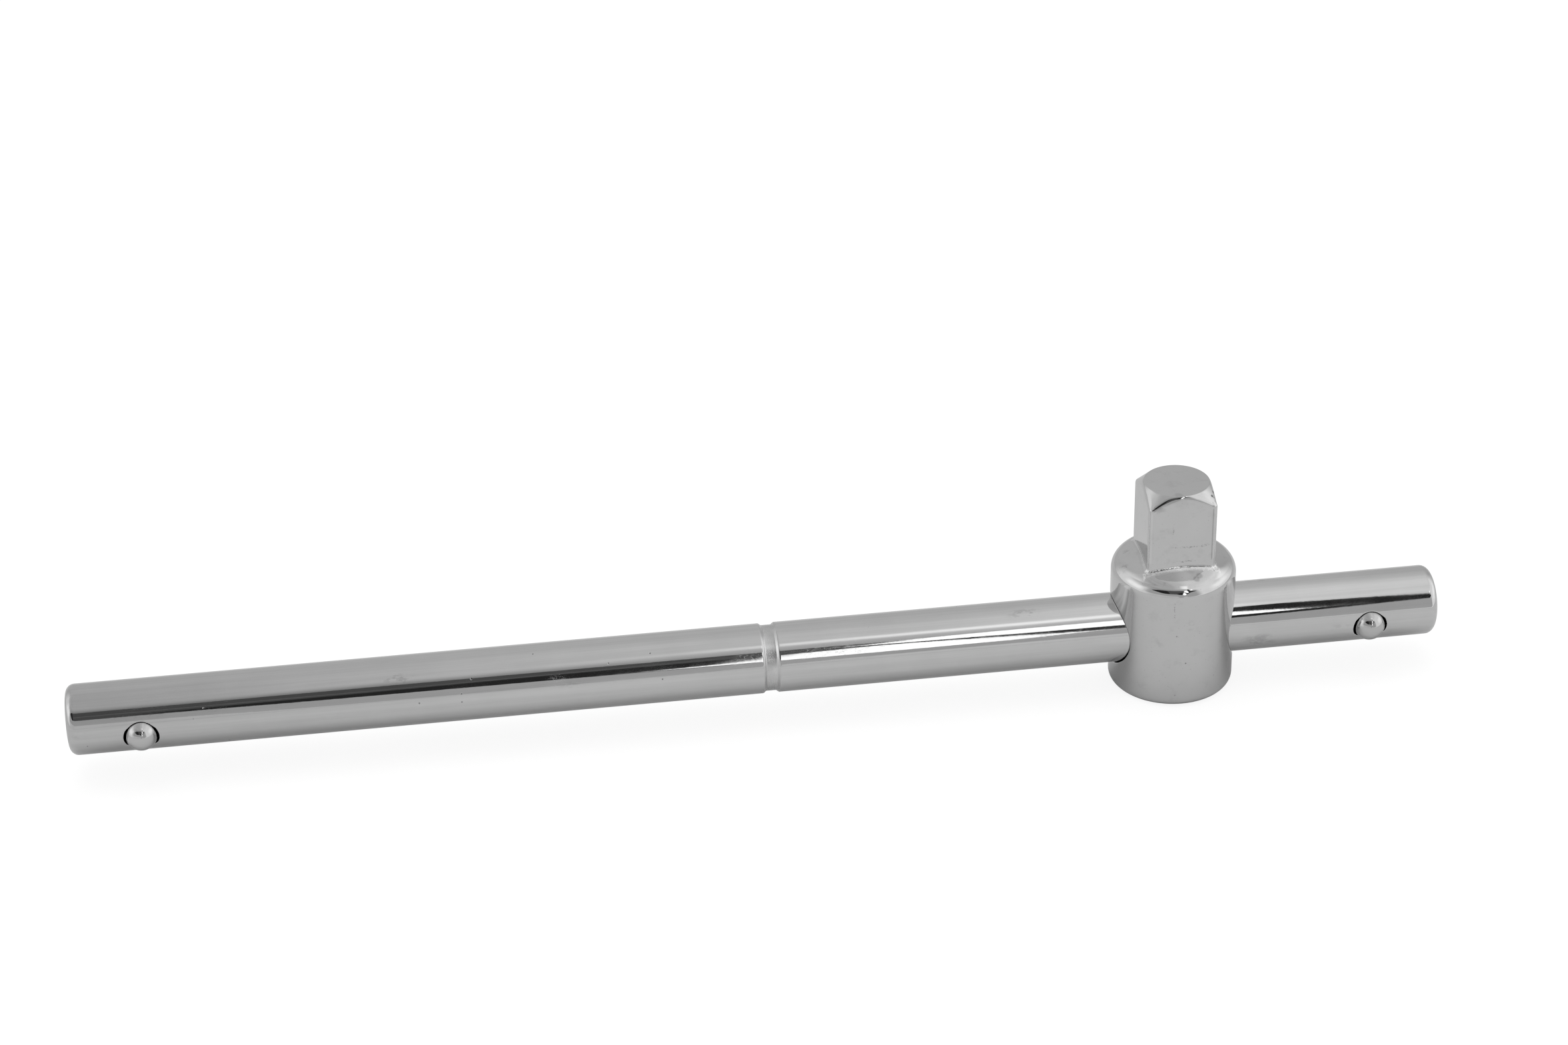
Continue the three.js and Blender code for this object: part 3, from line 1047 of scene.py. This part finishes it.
def make_camera():
    data = bpy.data.cameras.new("camera")
    data.lens = camera_lens
    data.sensor_width = camera_sensor
    data.clip_start = 0.01
    camera = new_object("camera", data)
    turn = Matrix.Rotation(-camera_heading, 4, "Z")
    tilt = Matrix.Rotation(quarter - camera_dip, 4, "X")
    roll = Matrix.Rotation(camera_roll, 4, "Z")
    camera.matrix_world = Matrix.Translation(camera_place) @ turn @ tilt @ roll
    bpy.context.scene.camera = camera


def make_floor():
    """A pale floor. The camera sees it nearly white, and metal sees it a little darker than it is, with
    painted shade that darkens it further behind the part.
    """
    bm = bmesh.new()
    bmesh.ops.create_grid(bm, x_segments=8, y_segments=8, size=floor_half)
    mesh = bpy.data.meshes.new("floor")
    bm.to_mesh(mesh)
    bm.free()
    floor = new_object("floor", mesh)
    material, sheet = new_material("floor_white")
    path = sheet.add("ShaderNodeLightPath").outputs
    behind = sheet.parts(sheet.place())[1]
    # Painted shade: in metal the floor darkens from just in front of the part to behind it.
    tone_in_metal = sheet.step(behind, 10 * mm, 70 * mm, floor_tone_in_metal, floor_painted_shade_behind)
    tone = sheet.mix(path["Is Glossy Ray"], floor_tone, tone_in_metal)
    tone = sheet.mix(path["Is Camera Ray"], tone, floor_shadow_share)
    grain = sheet.step(sheet.noise(sheet.place(), 60 * mm), 0.2, 0.8, 0.985, 1.015)
    matte = sheet.add("ShaderNodeBsdfDiffuse", {"Color": sheet.grey(sheet.times(tone, grain))})
    strength = sheet.times(path["Is Camera Ray"], floor_glow)
    glow = sheet.add("ShaderNodeEmission", {"Strength": strength})
    both = sheet.add("ShaderNodeAddShader", {0: matte.outputs[0], 1: glow.outputs[0]})
    sheet.add("ShaderNodeOutputMaterial", {"Surface": both.outputs[0]})
    mesh.materials.append(material)


class Tent:
    """The way a ray goes that leaves the part: across (X), and its height and bearing in degrees.

    Bearing 0 is the front, and the right is positive.
    """

    def __init__(self, sheet):
        self.sheet = sheet
        self.direction = sheet.add("ShaderNodeTexCoord").outputs["Generated"]
        self.across, backward, upward = sheet.parts(self.direction)
        self.forward = sheet.minus(0.0, backward)
        degree = math.pi / 180
        self.height = sheet.times(sheet.math("ARCSINE", upward), 1 / degree)
        self.bearing = sheet.times(sheet.math("ARCTAN2", self.across, self.forward), 1 / degree)
        self.in_front = sheet.step(self.forward, -0.05, 0.15)
        ragged = sheet.minus(sheet.noise(self.direction, 0.03, detail=3.0, roughness=0.6), 0.5)
        self.ragged_height = sheet.plus(self.height, sheet.times(ragged, 2.0))

    def band(self, value, low, high, soft):
        """1 where value is between low and high, with edges that are soft on both sides."""
        over = self.sheet.step(self.sheet.minus(value, low), -soft, soft)
        under = self.sheet.step(self.sheet.minus(high, value), -soft, soft)
        return self.sheet.times(over, under)

    def lens(self, foot, top, soft=0.7):
        """An area in front between two curves, each a list of (across, height) points."""
        foot_height = self.sheet.curve(self.across, foot)
        top_height = self.sheet.curve(self.across, top)
        shape = self.band(self.ragged_height, foot_height, top_height, soft)
        return self.sheet.times(shape, self.in_front)

    def soft_box(self, bearings, heights, soft_bearing, soft_height):
        """An area between two bearings and two heights."""
        wide = self.band(self.bearing, *bearings, soft_bearing)
        return self.sheet.times(wide, self.band(self.height, *heights, soft_height))


def cloth_light(sheet, tent):
    """The tent's cloth, its roof, its shaded rear and the soft boxes at both sides."""
    across, height = tent.across, tent.height
    light = sheet.step(sheet.noise(tent.direction, 0.5), 0.3, 0.7, 0.69, 0.75)
    zenith = sheet.curve(
        across, [(-0.6, 0.6), (-0.1, 0.6), (-0.03, 0.67), (0.1, 0.74), (0.2, 0.77), (0.6, 0.77)]
    )
    zenith_foot = sheet.step(across, 0.0, 0.15, 54.0, 66.0)
    light = sheet.mix(sheet.step(height, zenith_foot, sheet.plus(zenith_foot, 14.0)), light, zenith)
    bright_roof = sheet.times(sheet.step(across, 0.1, 0.25), sheet.step(height, 25.0, 86.0))
    light = sheet.mix(bright_roof, light, 0.97)
    wall_shade = sheet.times(
        sheet.step(tent.forward, 0.2, -0.3),
        sheet.step(height, 80.0, 28.0),
        sheet.step(across, 0.2, 0.33, 0.16, 0.25),
    )
    light = sheet.dimmed(light, wall_shade)
    light = sheet.mix(tent.soft_box((22, 120), (-4, 60), 16.0, 9.0), light, 1.06)
    light = sheet.mix(tent.soft_box((66, 104), (12, 33), 10.0, 7.0), light, 1.34)
    light = sheet.mix(tent.soft_box((-134, -60), (-6, 46), 14.0, 9.0), light, 1.0)
    return sheet.mix(tent.soft_box((-106, -72), (13, 35), 8.0, 8.0), light, 1.36)


def front_light(sheet, tent, light):
    """In front the cloth glows high up, is dusky round the opening, and darker below that."""
    across, height, in_front = tent.across, tent.height, tent.in_front
    glow_height = sheet.curve(across, [(-0.5, 74), (-0.1, 70), (0.1, 68), (0.2, 65), (0.3, 57), (0.6, 50)])
    glow_amount = sheet.curve(
        across, [(-0.6, 0), (-0.03, 0), (0.06, 0.06), (0.18, 0.6), (0.22, 0.5), (0.26, 0.06), (0.6, 0)]
    )
    glow = sheet.step(sheet.gap(height, glow_height), 8.0, 0.0)
    light = sheet.plus(light, sheet.times(glow, glow_amount, in_front))

    dusk = sheet.curve(
        across, [(-0.6, 0.2), (-0.3, 0.5), (-0.05, 0.56), (0.1, 0.35), (0.2, 0.24), (0.26, 0.12), (0.6, 0.0)]
    )
    dusk = sheet.times(dusk, sheet.step(height, 67.0, 49.0), sheet.step(height, 36.0, 44.0), in_front)
    light = sheet.dimmed(light, dusk)

    sill_foot = sheet.curve(
        across,
        [(-0.8, 14), (-0.08, 10), (-0.03, 2.5), (0.065, 1), (0.13, 7), (0.19, 7), (0.24, 3), (0.6, 3)],
    )
    sill = sheet.times(
        tent.band(height, sill_foot, 48.0, 0.8), tent.band(tent.bearing, -62.0, 36.0, 8.0), in_front
    )
    return sheet.mix(sill, light, 0.51)


def opening(sheet, tent, light):
    """A dark slot in front, darkest in its depth, with a thin lit line."""
    slot = tent.lens(
        [(-0.68, 39), (-0.55, 31), (-0.42, 27), (-0.075, 26), (-0.03, 23), (0.02, 21.5), (0.065, 20),
         (0.09, 18.5), (0.13, 17), (0.16, 17), (0.19, 23), (0.24, 26), (0.265, 29), (0.276, 31.8),
         (0.284, 32.6), (0.55, 38)],
        [(-0.68, 36), (-0.55, 43), (-0.42, 48), (-0.075, 50), (0.1, 49.5), (0.15, 48), (0.195, 48),
         (0.215, 54), (0.238, 58), (0.2515, 55), (0.268, 51.5), (0.2775, 47.5), (0.284, 44.5),
         (0.4, 40), (0.55, 35)],
    )
    deep = tent.lens(
        [(-0.6, 20), (-0.31, 22), (-0.24, 36), (-0.1, 34), (-0.03, 20), (0.6, 14)],
        [(-0.6, 60), (-0.31, 54), (-0.24, 31), (-0.1, 31), (-0.03, 33), (0.06, 37), (0.11, 37), (0.16, 60),
         (0.6, 60)],
        1.2,
    )
    line = tent.lens(
        [(-0.2, 35), (0.0, 38), (0.08, 41), (0.1, 44)],
        [(-0.2, 37), (0.0, 39.5), (0.08, 42), (0.1, 43.5)],
    )
    inside = sheet.mix(deep, sheet.mix(line, 0.1, 0.17), 0.028)
    return sheet.mix(slot, light, inside)


def windows(sheet, tent, light):
    """Three lit windows, two in the slot and one beside it."""
    low_window = tent.lens(
        [(0.06, 22), (0.088, 20), (0.127, 17.5), (0.158, 17.5), (0.187, 22.5), (0.2, 24)],
        [(0.06, 21), (0.085, 23.5), (0.098, 30), (0.104, 34.5), (0.115, 36), (0.127, 38), (0.158, 33),
         (0.187, 25), (0.2, 22)],
    )
    high_window = tent.lens(
        [(0.118, 44), (0.13, 42), (0.158, 38.5), (0.187, 35), (0.238, 33), (0.25, 35)],
        [(0.118, 42), (0.13, 44.5), (0.147, 49.5), (0.2, 49.5), (0.225, 45), (0.25, 33)],
    )
    far_window = tent.lens(
        [(0.295, 52), (0.315, 47), (0.33, 47), (0.345, 51)],
        [(0.295, 50), (0.315, 54), (0.33, 53), (0.345, 49)],
        1.5,
    )
    return sheet.mix(sheet.greatest(low_window, high_window, far_window), light, 1.8)


def make_surroundings():
    """A light tent whose cloth, soft boxes and opening are seen in polished metal alone."""
    world = bpy.data.worlds.new("light_tent")
    world.use_nodes = True
    bpy.context.scene.world = world
    sheet = Sheet(world.node_tree)
    tent = Tent(sheet)
    light = cloth_light(sheet, tent)
    for layer in (front_light, opening, windows):
        light = layer(sheet, tent, light)

    path = sheet.add("ShaderNodeLightPath").outputs
    seen = sheet.mix(path["Is Glossy Ray"], tent_on_matte, light)
    seen = sheet.mix(path["Is Camera Ray"], seen, backdrop_tone)
    shader = sheet.add("ShaderNodeBackground", {"Color": sheet.grey(seen)})
    sheet.add("ShaderNodeOutputWorld", {"Surface": shader.outputs[0]})


def make_lamp():
    """One large soft lamp overhead gives the floor its shadow. Metal doesn't see it."""
    data = bpy.data.lights.new("overhead", "AREA")
    data.shape = "RECTANGLE"
    data.size = lamp_width
    data.size_y = lamp_depth
    data.energy = lamp_power
    lamp = new_object("overhead", data)
    lamp.location = lamp_place
    lamp.rotation_euler = (-lamp_place).to_track_quat("-Z", "Y").to_euler()
    lamp.visible_glossy = False


make_camera()
make_floor()
make_surroundings()
make_lamp()
bpy.context.scene.view_settings.view_transform = "Standard"
